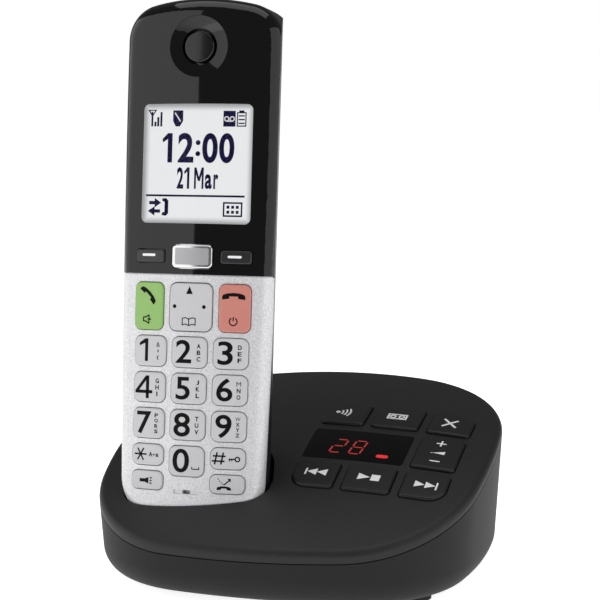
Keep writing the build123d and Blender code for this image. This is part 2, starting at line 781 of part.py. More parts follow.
pin_holes = [
    handset_place * Pos(side * contact_offset, contact_depth, 0.0)
    * Cylinder(pin_radius + pin_hole_gap, 20.0) for side in (-1, 1)
]
for hole in pin_holes:
    cover = cover - hole
keep("base_top_cover", cover)

# ---- Bottom case ----

case = (base_outer & under_rim) - (base_inner & below_top(rim_height - 5.0))
for x, y in screw_spots:
    post = Pos(x, y, base_clearance) * Cylinder(
        boss_radius + 1.2, boss_split - base_clearance, align=(Align.CENTER, Align.CENTER, Align.MIN)
    )
    case = case + (post & base_outer)
for x, y in screw_spots:
    case = case - Pos(x, y, 0) * Cylinder(screw_radius + 0.2, 40.0)
    case = case - Pos(x, y, 0) * Cylinder(
        screw_head_radius + 0.3, 5.0, align=(Align.CENTER, Align.CENTER, Align.MIN)
    )
for x, y in foot_spots:
    case = case - Pos(x, y, 0) * Cylinder(
        foot_radius + 0.05, base_clearance + foot_recess, align=(Align.CENTER, Align.CENTER, Align.MIN)
    )
grille_rows = range(-4, 5)
for row in grille_rows:
    length = 2 * math.sqrt((base_speaker_radius - 3.0) ** 2 - (3.4 * row) ** 2)
    slot = Pos(speaker_spot[0], speaker_spot[1] + 3.4 * row) * SlotOverall(length, 1.5)
    case = case - extrude(slot, amount=8.0)

socket_recess = 0.3
socket_inside = base_form(socket_recess)
dc_height = 2 * dc_hole_radius + 1.2
dc_middle = socket_floor + dc_height / 2
line_middle = socket_floor + line_opening[1] / 2


def socket_face(height):
    """Where a connector's face lies, just inside the drafted rear wall at a height."""
    return base_depth / 2 + plan_shift - (draft_height - height) * draft_slope - socket_recess


def socket_block(x, width, height):
    """A connector housing that runs out through the rear wall."""
    middle = socket_floor + height / 2
    depth_from = socket_face(middle) - socket_depth - socket_back
    block = Box(width + 2 * socket_wall, 30.0, height + 2 * socket_wall)
    return Pos(x, depth_from + 15.0, middle) * block


line_block = socket_block(line_socket_x, *line_opening)
dc_block = socket_block(dc_inlet_x, dc_height, dc_height)
case = case - line_block - dc_block
line_face = Pos(line_socket_x, socket_face(line_middle))
line_hole = line_face * Pos(0, 0, line_middle) * Box(
    line_opening[0], 2 * socket_depth, line_opening[1]
)
latch_hole = line_face * Pos(0, 0, line_middle + line_opening[1] / 2 + 0.4) * Box(
    4.0, 2 * socket_depth, 0.8
)
keep("line_socket", (line_block & socket_inside) - line_hole - latch_hole)
dc_face = Pos(dc_inlet_x, socket_face(dc_middle), dc_middle)
dc_hole = dc_face * Rot(90, 0, 0) * Cylinder(dc_hole_radius, 2 * socket_depth)
dc_pin = dc_face * Pos(0, -socket_depth - 1, 0) * Rot(-90, 0, 0) * Cylinder(
    dc_pin_radius, socket_depth - 1.0, align=(Align.CENTER, Align.CENTER, Align.MIN)
)
keep("dc_inlet", ((dc_block & socket_inside) - dc_hole) + dc_pin)
keep("base_bottom_case", case)

# ---- Feet, screws, pins and electronics of the base ----

feet = []
for x, y in foot_spots:
    foot = Pos(x, y, 0) * Cylinder(
        foot_radius, base_clearance + foot_recess, align=(Align.CENTER, Align.CENTER, Align.MIN)
    )
    feet.append(fillet(foot.edges().sort_by(Axis.Z)[0], 0.5))
keep("base_feet", Compound(children=feet))

screws = []
for x, y in screw_spots:
    head = Pos(x, y, 3.2) * Cylinder(
        screw_head_radius, 1.8, align=(Align.CENTER, Align.CENTER, Align.MIN)
    )
    head = head - Pos(x, y, 3.2) * Box(0.8, 3.4, 1.6)
    head = head - Pos(x, y, 3.2) * Box(3.4, 0.8, 1.6)
    shank = Pos(x, y, 5.0) * Cylinder(
        screw_radius, 10.0, align=(Align.CENTER, Align.CENTER, Align.MIN)
    )
    screws.append(head + shank)
keep("base_screws", Compound(children=screws))

contact_rise = bottom_arc - math.sqrt(bottom_arc**2 - contact_offset**2)
for side, name in ((-1, "charge_pin_left"), (1, "charge_pin_right")):
    tip = contact_rise - pin_gap
    pin = Pos(side * contact_offset, contact_depth, tip - pin_length) * Cylinder(
        pin_radius, pin_length, align=(Align.CENTER, Align.CENTER, Align.MIN)
    )
    pin = fillet(pin.edges().sort_by(Axis.Z)[-1], 0.6)
    shoulder_top = -seat_gap - well_wall - 0.2
    shoulder = Pos(side * contact_offset, contact_depth, shoulder_top - 1.0) * Cylinder(
        pin_radius + 0.8, 1.0, align=(Align.CENTER, Align.CENTER, Align.MIN)
    )
    keep(name, pin + shoulder, handset_place)

board_sketch = Rectangle(2 * base_board_half[0], 2 * base_board_half[1])
keep("base_board", field_prism(board_sketch, -base_board_depth - base_board_thick, -base_board_depth))
mat_sketch = Rectangle(2 * base_board_half[0] - 1.0, 2 * base_board_half[1] - 2.0)
display_size = (24.0, 13.0)
display_middle = (sum(field_window) / 2, sum(field_window_rows) / 2)
mat_drop = base_key_root + flange_thick + 0.2
mat = field_prism(mat_sketch, -base_board_depth, 6.0) & below_top(mat_drop)
display_room = Pos(*display_middle) * Rectangle(display_size[0] + 1.0, display_size[1] + 1.0)
mat = mat - field_prism(display_room, -base_board_depth - 1, 6.0)
keep("base_key_mat", mat)
display_top = -base_wall - window_thick - 0.6
lamp_spot = (field_window[1] - 7.9, field_window_rows[0] + 4.4)
display = field_prism(Pos(*display_middle) * Rectangle(*display_size), -base_board_depth, display_top)
lamp = field_prism(Pos(*lamp_spot) * SlotOverall(3.8, 1.6), display_top - 1.5, display_top + 0.2)
keep("message_led", lamp)
keep("base_led_display", display - lamp)

speaker_floor = base_clearance + base_wall
magnet = Pos(*speaker_spot, speaker_floor + 3.0) * Cylinder(
    base_speaker_radius * 0.5, base_speaker_height - 3.0, align=(Align.CENTER, Align.CENTER, Align.MIN)
)
basket = Pos(*speaker_spot, speaker_floor) * Cylinder(
    base_speaker_radius, 3.0, align=(Align.CENTER, Align.CENTER, Align.MIN)
)
keep("base_speaker", basket + magnet)

# ---- Files ----

os.makedirs("parts", exist_ok=True)
for name, shape in nodes.items():
    export_step(shape, f"parts/{name}.step")
print(len(nodes), "nodes")
print("key press on the base", [round(-c, 4) for c in field_normal])
print("field origin", [round(c, 3) for c in field_origin])
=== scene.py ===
import bmesh
import bpy
import json
import math
from mathutils import Matrix, Vector
from mathutils.bvhtree import BVHTree

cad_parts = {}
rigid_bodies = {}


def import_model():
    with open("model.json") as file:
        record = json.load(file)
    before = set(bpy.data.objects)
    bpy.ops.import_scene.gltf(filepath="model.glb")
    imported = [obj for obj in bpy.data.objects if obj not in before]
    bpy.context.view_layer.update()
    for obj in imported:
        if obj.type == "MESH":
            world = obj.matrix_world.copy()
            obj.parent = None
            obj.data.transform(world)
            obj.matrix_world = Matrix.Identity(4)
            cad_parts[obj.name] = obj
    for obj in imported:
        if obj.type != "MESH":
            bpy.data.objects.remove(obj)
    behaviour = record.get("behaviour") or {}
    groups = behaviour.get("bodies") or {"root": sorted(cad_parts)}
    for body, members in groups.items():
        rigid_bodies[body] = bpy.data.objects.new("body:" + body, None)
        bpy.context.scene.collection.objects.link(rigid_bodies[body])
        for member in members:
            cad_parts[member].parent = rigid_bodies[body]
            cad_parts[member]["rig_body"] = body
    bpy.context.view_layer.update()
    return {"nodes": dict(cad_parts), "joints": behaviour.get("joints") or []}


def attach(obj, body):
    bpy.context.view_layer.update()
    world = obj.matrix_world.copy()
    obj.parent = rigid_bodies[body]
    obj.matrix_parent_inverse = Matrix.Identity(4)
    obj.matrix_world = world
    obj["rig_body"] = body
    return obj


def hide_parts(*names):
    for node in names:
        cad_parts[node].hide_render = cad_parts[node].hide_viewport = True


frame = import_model()

# ---- The studio ----
# A pale translucent table lit a little from below, two wide soft boxes at the sides, one
# overhead, and a long lens. Nothing bright stands between the side boxes.


def linear(colour):
    """An sRGB hex colour as linear RGBA."""
    channels = [int(colour[i : i + 2], 16) / 255 for i in (1, 3, 5)]
    return (*[c / 12.92 if c <= 0.04045 else ((c + 0.055) / 1.055) ** 2.4 for c in channels], 1.0)


def node(tree, kind, settings=None, links=None):
    """Adds a node with its settings and with its inputs joined to other nodes' outputs."""
    made = tree.nodes.new(kind)
    for name, value in (settings or {}).items():
        if isinstance(name, int) or name in made.inputs:
            made.inputs[name].default_value = value
        else:
            setattr(made, name, value)
    for name, source in (links or {}).items():
        tree.links.new(source, made.inputs[name])
    return made


def blank(name):
    """A new material, its node tree and its shader."""
    material = bpy.data.materials.new(name)
    material.use_nodes = True
    return material, material.node_tree, material.node_tree.nodes["Principled BSDF"]


def towards(azimuth, elevation):
    """The direction from the phone to a place round it. Azimuth 0 is in front, 90 to its right."""
    a, e = math.radians(azimuth), math.radians(elevation)
    return Vector((math.sin(a) * math.cos(e), -math.cos(a) * math.cos(e), math.sin(e)))


aim = Vector((0.0, 0.0, 0.08376))
camera_azimuth, camera_elevation = 17.309, 7.651
camera_roll = math.radians(-0.565)
camera_distance = 0.57857
back = towards(camera_azimuth, camera_elevation)
level = Vector((math.cos(math.radians(camera_azimuth)), math.sin(math.radians(camera_azimuth)), 0))
upright = back.cross(level)
right = level * math.cos(camera_roll) + upright * math.sin(camera_roll)
above = upright * math.cos(camera_roll) - level * math.sin(camera_roll)
camera = bpy.data.objects.new("camera", bpy.data.cameras.new("camera"))
camera.data.lens = 112.66
camera.data.sensor_width = 36.0
camera.data.clip_start = 0.01
camera_turn = Matrix((right, above, back)).transposed().to_4x4()
camera.matrix_world = Matrix.Translation(aim + back * camera_distance) @ camera_turn
bpy.context.scene.collection.objects.link(camera)
bpy.context.scene.camera = camera
bpy.context.scene.view_settings.view_transform = "Standard"


def soft_box(name, azimuth, elevation, distance, width, height, radiance):
    """A flat soft box that faces the phone. Its brightness is the radiance of its cloth."""
    lamp = bpy.data.lights.new(name, "AREA")
    lamp.shape = "RECTANGLE"
    lamp.size = width
    lamp.size_y = height
    lamp.energy = radiance * math.pi * width * height
    box = bpy.data.objects.new(name, lamp)
    direction = towards(azimuth, elevation)
    box.location = aim + direction * distance
    box.rotation_euler = direction.to_track_quat("Z", "Y").to_euler()
    box.visible_camera = False
    bpy.context.scene.collection.objects.link(box)


soft_box("left_box", azimuth=-66.0, elevation=2.0, distance=1.0, width=2.0, height=1.3, radiance=1.25)
soft_box("right_box", azimuth=76.0, elevation=2.0, distance=1.0, width=1.8, height=1.3, radiance=1.1)
soft_box("top_box", azimuth=0.0, elevation=82.0, distance=1.3, width=1.6, height=1.2, radiance=1.6)

table_side, table_back = 4.0, 9.0
table_corners = [(-table_side, -table_side), (table_side, -table_side)]
table_corners += [(table_side, table_back), (-table_side, table_back)]
table_mesh = bmesh.new()
table_mesh.faces.new([table_mesh.verts.new((x, y, 0.0)) for x, y in table_corners])
table = bpy.data.objects.new("pale_table", bpy.data.meshes.new("pale_table"))
table_mesh.to_mesh(table.data)
bpy.context.scene.collection.objects.link(table)
# Matt opal acrylic, lit from below: no gloss, so the phone leaves a soft shadow and no reflection.
opal, _, opal_shader = blank("opal_acrylic_matt")
opal_shader.inputs["Base Color"].default_value = linear("#f4f4f4")
opal_shader.inputs["Roughness"].default_value = 0.9
opal_shader.inputs["Specular IOR Level"].default_value = 0.0
opal_shader.inputs["Emission Color"].default_value = linear("#ffffff")
opal_shader.inputs["Emission Strength"].default_value = 0.85
table.data.materials.append(opal)

world = bpy.data.worlds.new("studio")
world.use_nodes = True
bpy.context.scene.world = world
room = world.node_tree
room.nodes.clear()
seen = node(room, "ShaderNodeLightPath").outputs["Is Camera Ray"]
dim = node(room, "ShaderNodeBackground", {"Color": (0.5, 0.5, 0.52, 1), "Strength": 0.35})
pale = node(room, "ShaderNodeBackground", {"Color": linear("#ffffff"), "Strength": 1.0})
blend = node(room, "ShaderNodeMixShader", {}, {0: seen, 1: dim.outputs[0], 2: pale.outputs[0]})
node(room, "ShaderNodeOutputWorld", {}, {"Surface": blend.outputs[0]})

# ---- Base: top cover and bottom case ----
# Two injection-moulded ABS shells with a spark-eroded texture, matt black, that meet in a thin
# seam below the rim. The bottom one is screwed to the top one from underneath.


grit_share = 0.6  # of the unevenness in tone; the rest is broad clouding
cloud_size = 25.0  # mm


def moulded(name, colour, roughness, grain, depth, tone=0.10, spread=0.05, **sockets):
    """A material whose colour, gloss and grain vary a little. Grain and depth are in mm."""
    material, tree, shader = blank(name)
    for socket, value in sockets.items():
        shader.inputs[socket.replace("_", " ")].default_value = value
    place = node(tree, "ShaderNodeTexCoord").outputs["Object"]
    grit = node(tree, "ShaderNodeTexNoise", {"Scale": 1000 / grain, "Detail": 3.0}, {"Vector": place})
    cloud = node(tree, "ShaderNodeTexNoise", {"Scale": 1000 / cloud_size, "Detail": 2.0}, {"Vector": place})
    base = linear(colour)
    darker = (*[c * (1 - tone) for c in base[:3]], 1.0)
    lighter = (*[min(1.0, c * (1 + tone)) for c in base[:3]], 1.0)
    clouding = node(
        tree, "ShaderNodeMath", {"operation": "MULTIPLY", 1: 1 - grit_share}, {0: cloud.outputs["Fac"]}
    )
    mixed = node(
        tree,
        "ShaderNodeMath",
        {"operation": "MULTIPLY_ADD", 1: grit_share},
        {0: grit.outputs["Fac"], 2: clouding.outputs[0]},
    )
    tint = node(
        tree, "ShaderNodeMix", {"data_type": "RGBA", 6: darker, 7: lighter}, {0: mixed.outputs[0]}
    )
    tree.links.new(tint.outputs[2], shader.inputs["Base Color"])
    gloss = node(
        tree,
        "ShaderNodeMapRange",
        {"To Min": roughness - spread, "To Max": roughness + spread},
        {"Value": grit.outputs["Fac"]},
    )
    tree.links.new(gloss.outputs[0], shader.inputs["Roughness"])
    if depth:
        bump = node(
            tree,
            "ShaderNodeBump",
            {"Strength": 1.0, "Distance": depth / 1000},
            {"Height": grit.outputs["Fac"]},
        )
        tree.links.new(bump.outputs[0], shader.inputs["Normal"])
    return material


weld_distance = 2e-6
shortest_edge = 1e-7


def finished(names, material, sharp=28.0):
    """Welded, smooth-shaded copies of CAD pieces, with their finish, that stand for them."""
    for name in names:
        source = frame["nodes"][name]
        skin = bmesh.new()
        skin.from_mesh(source.data)
        bmesh.ops.remove_doubles(skin, verts=skin.verts, dist=weld_distance)
        bmesh.ops.dissolve_degenerate(skin, edges=skin.edges, dist=shortest_edge)
        for face in skin.faces:
            face.smooth = True
        for edge in skin.edges:
            edge.smooth = len(edge.link_faces) == 2 and edge.calc_face_angle(0.0) < math.radians(sharp)
        mesh = bpy.data.meshes.new(name + "_skin")
        skin.to_mesh(mesh)
        if "custom_normal" in mesh.attributes:
            mesh.attributes.remove(mesh.attributes["custom_normal"])
        mesh.materials.clear()
        mesh.materials.append(material)
        for face in mesh.polygons:
            face.material_index = 0
        piece = bpy.data.objects.new(name + "_skin", mesh)
        bpy.context.scene.collection.objects.link(piece)
        weights = piece.modifiers.new("even_normals", "WEIGHTED_NORMAL")
        weights.keep_sharp = True
        weights.weight = 100
        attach(piece, source["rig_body"])
        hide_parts(name)


# Black ABS, spark-eroded mould: an even, fine grain that breaks up the highlights. The real
# grain is about 0.1 mm; it is drawn at 0.5 mm so that it shows. The bottom case, less exposed,
# has a flatter satin.
textured_abs = moulded(
    "black_abs_spark_textured", "#161517", roughness=0.52, grain=0.5, depth=0.010, IOR=1.40
)
finished(["base_top_cover"], textured_abs)
lower_abs = moulded(
    "black_abs_satin_moulded", "#121113", roughness=0.62, grain=0.6, depth=0.006, IOR=1.34
)
finished(["base_bottom_case", "line_socket", "dc_inlet"], lower_abs)

# ---- Base: keys and their symbols ----
# Seven satin ABS keys in square holes, with bevelled edges and printed white symbols. Each
# symbol is a thin layer of ink that goes with its key.

# Satin ABS from a smoother mould: a broad soft highlight that sets the keys off from the cover.
key_abs = moulded("black_abs_satin_keys", "#121113", roughness=0.40, grain=0.5, depth=0.004, IOR=1.40)
base_keys = ["locator", "answer_on", "erase", "volume", "previous", "play_stop", "next"]
base_keys = ["base_key_" + name for name in base_keys]
finished(base_keys, key_abs)


def axis_of(joint_name):
    """The direction of a joint's axis."""
    return Vector(next(j["axis"] for j in frame["joints"] if j["name"] == joint_name)).normalized()


def span(names, axis):
    """How far CAD pieces reach along a direction, lowest and highest."""
    reach = [v.co.dot(axis) for name in names for v in frame["nodes"][name].data.vertices]
    return min(reach), max(reach)


def strip(x_from, y_from, x_to, y_to, width):
    """A straight bar of ink."""
    along = Vector((x_to - x_from, y_to - y_from)).normalized() * width / 2
    side = Vector((-along.y, along.x))
    start, end = Vector((x_from, y_from)), Vector((x_to, y_to))
    return [[start + side, start - side, end - side, end + side]]


def disc(x, y, radius, steps=24):
    """A filled round."""
    turns = [2 * math.pi * i / steps for i in range(steps)]
    return [[(x + radius * math.cos(t), y + radius * math.sin(t)) for t in turns]]


def band(x, y, radius, width, start=0.0, end=360.0, steps=24):
    """A ring, or a stretch of one."""
    turns = [math.radians(start + (end - start) * i / steps) for i in range(steps + 1)]
    inner, outer = radius - width / 2, radius + width / 2
    return [
        [
            (x + outer * math.cos(a), y + outer * math.sin(a)),
            (x + inner * math.cos(a), y + inner * math.sin(a)),
            (x + inner * math.cos(b), y + inner * math.sin(b)),
            (x + outer * math.cos(b), y + outer * math.sin(b)),
        ]
        for a, b in zip(turns, turns[1:])
    ]


def block(x_from, x_to, y_from, y_to):
    """A filled rectangle."""
    return [[(x_from, y_from), (x_to, y_from), (x_to, y_to), (x_from, y_to)]]


def outline(x_from, x_to, y_from, y_to, width):
    """A rectangular frame, drawn inside its outer size."""
    return (
        block(x_from, x_to, y_from, y_from + width)
        + block(x_from, x_to, y_to - width, y_to)
        + block(x_from, x_from + width, y_from + width, y_to - width)
        + block(x_to - width, x_to, y_from + width, y_to - width)
    )


def pill(x_from, x_to, y, width):
    """A bar with round ends."""
    r = width / 2
    ends = [(x_to - r, y, a) for a in range(-90, 91, 15)] + [(x_from + r, y, a) for a in range(90, 271, 15)]
    return [[(x + r * math.cos(math.radians(a)), y + r * math.sin(math.radians(a))) for x, y, a in ends]]


class Face:
    """A face of the phone to print on: millimetre coordinates across and up it, seen from outside."""

    sink = 0.01  # mm that a print reaches below the surface
    clearance = 0.02  # m in front of the face from which the surface is sought

    def __init__(self, origin, across, up):
        self.origin = origin
        self.across = across
        self.up = up
        self.out = across.cross(up)

    def lay(self, name, shapes, host, material, lift=0.03):
        """Thin closed pieces laid on the surface of a CAD piece, standing proud by the lift in mm."""
        source = frame["nodes"][host]
        surface = BVHTree.FromPolygons(
            [v.co for v in source.data.vertices], [tuple(p.vertices) for p in source.data.polygons]
        )
        ink = bmesh.new()
        for shape in shapes:
            ink.faces.new([ink.verts.new((p[0], p[1], 0.0)) for p in shape])
        bmesh.ops.remove_doubles(ink, verts=ink.verts, dist=1e-4)
        reach = [v.co.x for v in ink.verts]
        for x in range(math.ceil(min(reach)), math.ceil(max(reach))):
            parts = ink.verts[:] + ink.edges[:] + ink.faces[:]
            bmesh.ops.bisect_plane(ink, geom=parts, dist=1e-5, plane_co=(x, 0, 0), plane_no=(1, 0, 0))
        for face in ink.faces:
            face.normal_update()
            if face.normal.z < 0:
                face.normal_flip()
        raised = bmesh.ops.extrude_face_region(ink, geom=ink.faces[:], use_keep_orig=True)
        for item in raised["geom"]:
            if isinstance(item, bmesh.types.BMVert):
                item.co.z = 1.0
        bmesh.ops.recalc_face_normals(ink, faces=ink.faces)
        for vert in ink.verts:
            start = self.origin + (self.across * vert.co.x + self.up * vert.co.y) / 1000
            hit = surface.ray_cast(start + self.out * self.clearance, -self.out)[0] or start
            vert.co = hit + self.out * (lift if vert.co.z > 0.5 else -self.sink) / 1000
        mesh = bpy.data.meshes.new(name)
        ink.to_mesh(mesh)
        mesh.materials.append(material)
        piece = bpy.data.objects.new(name, mesh)
        bpy.context.scene.collection.objects.link(piece)
        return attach(piece, source["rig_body"])


field_out = -axis_of("base_key_erase_press")
field_across = axis_of("volume_rock")
field_up = field_out.cross(field_across)
field_aside, field_rise = 0.0002, 0.02445  # from the middle of the keys, and from their lowest edge
field_origin = field_across * (sum(span(base_keys, field_across)) / 2 + field_aside)
field_origin += field_up * (span(base_keys, field_up)[0] + field_rise)
field_origin += field_out * sum(span(base_keys, field_out)) / 2
field = Face(field_origin, field_across, field_up)

# Screen-printed epoxy ink, satin: slightly uneven in tone where the mesh left less of it.
white_ink = moulded(
    "white_ink_screen_printed", "#e6e6e6", roughness=0.45, grain=0.3, depth=0.0, tone=0.04
)
line, heavy = 0.55, 0.75
tape = outline(-4.0, 2.3, 16.9, 20.4, 0.6) + band(-2.2, 18.6, 0.8, line) + band(0.55, 18.6, 0.8, line)
wave = disc(-20.1, 18.7, 0.7)
for radius in (2.5, 3.7, 4.9):
    wave += band(-21.0, 18.7, radius, line, -30, 30, 8)
cross = strip(13.8, 20.9, 18.2, 16.0, heavy) + strip(13.9, 16.0, 18.2, 20.6, heavy)
volume = strip(15.0, 5.0, 18.0, 5.0, line) + strip(16.5, 6.6, 16.5, 3.4, line)
volume += strip(15.1, -5.0, 18.2, -5.0, 0.5) + [[(14.4, -0.8), (18.7, 0.7), (18.7, -1.1), (14.4, -0.5)]]
rewind = block(-20.1, -19.6, -18.7, -15.6)
rewind += [[(-19.5, -17.1), (-16.5, -18.7), (-16.5, -15.5)]]
rewind += [[(-16.5, -17.1), (-13.4, -18.7), (-13.4, -15.5)]]
play = [[(-3.7, -18.9), (0.0, -17.3), (-3.7, -15.8)]] + block(0.3, 3.0, -18.8, -15.9)
forward = [[(13.6, -19.0), (16.6, -17.5), (13.6, -16.0)], [(16.8, -19.0), (19.9, -17.5), (16.8, -16.0)]]
forward += block(20.0, 20.5, -19.3, -15.8)
symbols = [wave, tape, cross, volume, rewind, play, forward]
for key, symbol in zip(base_keys, symbols):
    field.lay("symbol_" + key, symbol, key, white_ink)

# ---- Base: display window, digits and message lamp ----
# A smoked acrylic pane set flush in the cover. The two seven-segment digits and the lamp under
# it show through as red light on its face, where they are made as thin glowing pieces.

# Dark acrylic with a flame-polished face: nearly black, with faint crisp reflections.
smoked = moulded(
    "smoked_acrylic_polished", "#050506", roughness=0.10, grain=0.8, depth=0.0, spread=0.03, IOR=1.22
)
finished(["base_display_window"], smoked)


def glowing(name, colour, strength):
    """Light that comes through a front, slightly uneven as its grain lets it out."""
    material, tree, shader = blank(name)
    place = node(tree, "ShaderNodeTexCoord").outputs["Object"]
    grain = node(tree, "ShaderNodeTexNoise", {"Scale": 1000 / 1.2, "Detail": 1.0}, {"Vector": place})
    full = linear(colour)
    low = (*[c * 0.8 for c in full[:3]], 1.0)
    tint = node(tree, "ShaderNodeMix", {"data_type": "RGBA", 6: low, 7: full}, {0: grain.outputs["Fac"]})
    shader.inputs["Base Color"].default_value = (0.02, 0.001, 0.001, 1)
    tree.links.new(tint.outputs[2], shader.inputs["Emission Color"])
    shader.inputs["Emission Strength"].default_value = strength
    return material


segment_width, segment_gap = 0.5, 0.42
digit_slant = 0.12
digit_height, digit_width = 7.4, 3.5


def digit(x, y, lit):
    """A slanted seven-segment figure. Segments run a to g, clockwise from the top."""
    half, gap = digit_height / 2, segment_gap
    corners = {
        "a": (gap, 2 * half, digit_width - gap, 2 * half),
        "b": (digit_width, 2 * half - gap, digit_width, half + gap),
        "c": (digit_width, half - gap, digit_width, gap),
        "d": (gap, 0, digit_width - gap, 0),
        "e": (0, half - gap, 0, gap),
        "f": (0, 2 * half - gap, 0, half + gap),
        "g": (gap, half, digit_width - gap, half),
    }
    bars = []
    for letter in lit:
        x1, y1, x2, y2 = corners[letter]
        bars += strip(x + x1 + y1 * digit_slant, y + y1, x + x2 + y2 * digit_slant, y + y2, segment_width)
    return bars


red_segments = glowing("red_led_through_acrylic", "#c9302c", 0.75)
digits_up = -4.75
lit_digits = digit(-16.5, digits_up, "abged") + digit(-10.4, digits_up, "abcdefg")
field.lay("answer_digits", lit_digits, "base_display_window", red_segments)
red_lamp = glowing("red_lamp_through_acrylic", "#e8262a", 1.0)
lamp_bar = pill(-1.6, 2.2, digits_up, 1.65)
lamp_piece = field.lay("message_lamp_glow", lamp_bar, "base_display_window", red_lamp)

# ---- Base: feet, screws, pins and what is inside ----
# Soft feet pressed into recesses, zinc-plated screws, nickel-plated pins, and behind them the
# board, key mat, speaker and display, which show only when something is lifted away.

# Moulded rubber: dull, with a coarse grain and hardly a highlight.
rubber = moulded("black_rubber_moulded", "#171718", roughness=0.85, grain=0.4, depth=0.02)
finished(["base_feet"], rubber)
# Steel under dull zinc, bright nickel on the sliding contacts, and bare drawn steel cans.
zinc = moulded("steel_zinc_plated", "#9fa0a2", roughness=0.34, grain=0.5, depth=0.004, Metallic=1.0)
finished(["base_screws", "handset_screws", "battery_contacts"], zinc)
nickel = moulded("nickel_plate_bright", "#c6c2b8", roughness=0.20, grain=0.4, depth=0.002, Metallic=1.0)
finished(["charge_pin_left", "charge_pin_right", "handset_charge_contacts"], nickel)
can = moulded("steel_drawn_can", "#8d8e90", roughness=0.40, grain=0.6, depth=0.004, Metallic=1.0)
finished(["base_speaker", "handset_speaker", "earpiece_receiver", "handset_microphone"], can)
# Green solder resist over glass cloth: dark, even and slightly glossy.
resist = moulded("fibreglass_green_resist", "#1c5a34", roughness=0.35, grain=0.8, depth=0.006)
finished(["base_board", "handset_board"], resist)
# Pressed silicone rubber: a soft, even grey.
silicone = moulded("silicone_grey_moulded", "#a9a9a9", roughness=0.60, grain=0.8, depth=0.01)
finished(["base_key_mat", "keypad_mat"], silicone)
finished(["base_led_display", "lcd_frame", "nav_boss"], lower_abs)
# Tinted epoxy that spreads the lamp's light.
lamp_lens = moulded("red_epoxy_diffused", "#b3201e", roughness=0.35, grain=0.5, depth=0.004)
finished(["message_led"], lamp_lens)

# ---- Handset: silver keypad case ----
# An ABS shell sprayed with silver lacquer whose metal flakes sparkle unevenly, with a hole for
# each key and a shallow slot over the microphone.

silver, paint, paint_shader = blank("silver_lacquer_on_abs")
paint_place = node(paint, "ShaderNodeTexCoord").outputs["Object"]
# Real flakes are about 0.03 mm. They are drawn at 0.45 mm so that they show.
flake_size, flake_height = 0.45, 0.004
flakes = node(
    paint, "ShaderNodeTexNoise", {"Scale": 1000 / flake_size, "Detail": 4.0}, {"Vector": paint_place}
)
flake_tone = node(
    paint,
    "ShaderNodeMapRange",
    {"From Min": 0.3, "From Max": 0.7},
    {"Value": flakes.outputs["Fac"]},
)
flake_colour = node(
    paint,
    "ShaderNodeMix",
    {"data_type": "RGBA", 6: linear("#bdbdbf"), 7: linear("#dedee0")},
    {0: flake_tone.outputs[0]},
)
paint.links.new(flake_colour.outputs[2], paint_shader.inputs["Base Color"])
flake_gloss = node(
    paint, "ShaderNodeMapRange", {"To Min": 0.34, "To Max": 0.50}, {"Value": flakes.outputs["Fac"]}
)
paint.links.new(flake_gloss.outputs[0], paint_shader.inputs["Roughness"])
flake_bump = node(
    paint,
    "ShaderNodeBump",
    {"Strength": 1.0, "Distance": flake_height / 1000},
    {"Height": flakes.outputs["Fac"]},
)
paint.links.new(flake_bump.outputs[0], paint_shader.inputs["Normal"])
paint_shader.inputs["Metallic"].default_value = 0.35
finished(["handset_front_case"], silver)

# ---- Handset: gloss display panel, lens and earpiece ----
# High-gloss black ABS, polished in the mould. The earpiece is a shallow dish with a round cap
# in it, and sound leaves through the gap round the cap.

# A polished mould gives a black mirror with only a trace of waviness.
piano = moulded(
    "black_abs_high_gloss", "#070708", roughness=0.045, grain=6.0, depth=0.0,
    tone=0.05, spread=0.01, IOR=1.44
)
finished(["handset_display_panel"], piano, sharp=12.0)
cap_gloss = moulded(
    "black_abs_polished_cap", "#0c0c0d", roughness=0.12, grain=3.0, depth=0.0,
    tone=0.05, spread=0.02, IOR=1.46
)
cap_crown = 0.091  # the radius of its crown across, the same as the panel's
cap_tree = cap_gloss.node_tree
cap_place = node(cap_tree, "ShaderNodeTexCoord").outputs["Object"]
cap_x = node(cap_tree, "ShaderNodeSeparateXYZ", {}, {0: cap_place}).outputs["X"]
cap_vertices = frame["nodes"]["earpiece_cap"].data.vertices
cap_middle = sum(v.co.x for v in cap_vertices) / len(cap_vertices)
cap_off = node(cap_tree, "ShaderNodeMath", {"operation": "SUBTRACT", 1: cap_middle}, {0: cap_x}).outputs[0]
cap_square = node(cap_tree, "ShaderNodeMath", {"operation": "MULTIPLY"}, {0: cap_off, 1: cap_off})
cap_drop = node(
    cap_tree, "ShaderNodeMath", {"operation": "DIVIDE", 1: -2 * cap_crown}, {0: cap_square.outputs[0]}
)
crown = node(
    cap_tree, "ShaderNodeBump", {"Strength": 1.0, "Distance": 1.0}, {"Height": cap_drop.outputs[0]}
)
cap_tree.links.new(crown.outputs[0], cap_tree.nodes["Principled BSDF"].inputs["Normal"])
finished(["earpiece_cap"], cap_gloss)
# The soft keys are a shade lighter and duller than the panel round them.
soft_abs = moulded("black_abs_soft_keys", "#1c1c1e", roughness=0.30, grain=0.5, depth=0.003)
finished(["key_soft_left", "key_soft_right"], soft_abs)

